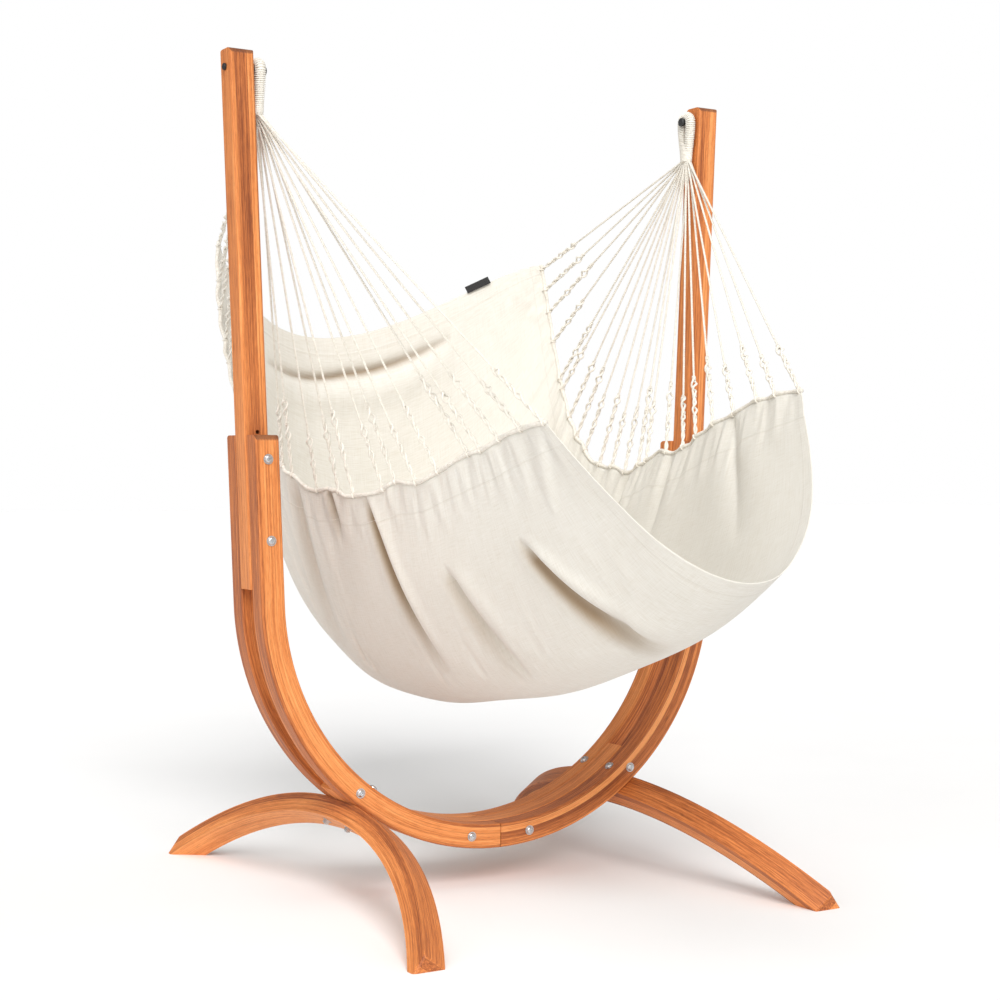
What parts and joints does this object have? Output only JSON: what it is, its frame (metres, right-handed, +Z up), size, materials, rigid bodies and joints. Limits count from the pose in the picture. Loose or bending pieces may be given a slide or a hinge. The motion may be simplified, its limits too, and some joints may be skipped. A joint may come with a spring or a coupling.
{
  "type": "hammock chair on stand",
  "caption": "Garden hammock chair of cotton canvas hung by fans of cords between the two uprights of a bent laminated-wood stand on arched feet.",
  "frame": {"origin": "on the floor, in the middle of the object's footprint; the stand's own middle plane is 163 mm behind it, because the seat hangs out past the feet at the front", "axes": "+Z up; +X to the sitter's left, from one upright to the other; -Y to the front, the side the sitter's legs point to"},
  "size_m": [1.1872, 1.4863, 1.68],
  "materials": {
    "timber": "satin",
    "bolt_steel": "satin",
    "pin_steel": "satin",
    "knob_plastic": "satin",
    "cotton_cord": "matte",
    "cotton_canvas": "matte",
    "label_ribbon": "matte"
  },
  "bodies": {
    "stand": {"left_post": "timber", "right_post": "timber", "front_left_rail": "timber", "front_right_rail": "timber", "rear_left_rail": "timber", "rear_right_rail": "timber", "middle_rail": "timber", "left_foot": "timber", "right_foot": "timber", "post_bolts": "bolt_steel", "post_washers": "bolt_steel", "post_nuts": "bolt_steel", "rail_bolts": "bolt_steel", "rail_washers": "bolt_steel", "rail_nuts": "bolt_steel", "foot_bolts": "bolt_steel", "foot_washers": "bolt_steel", "foot_nuts": "bolt_steel", "left_pin": "pin_steel", "right_pin": "pin_steel", "left_knob": "knob_plastic", "right_knob": "knob_plastic"},
    "chair": {"left_eye": "cotton_cord", "right_eye": "cotton_cord", "left_cords": "cotton_cord", "right_cords": "cotton_cord", "left_knots": "cotton_cord", "right_knots": "cotton_cord", "left_hem_rope": "cotton_cord", "right_hem_rope": "cotton_cord", "seat_cloth": "cotton_canvas", "label_tab": "label_ribbon"}
  },
  "joints": [
    {"name": "chair_swing", "type": "hinge", "parent": "stand", "child": "chair", "pos_m": [0, 0.163, 1.645], "axis": [1, 0, 0], "range_deg": [-20, 20]}
  ]
}
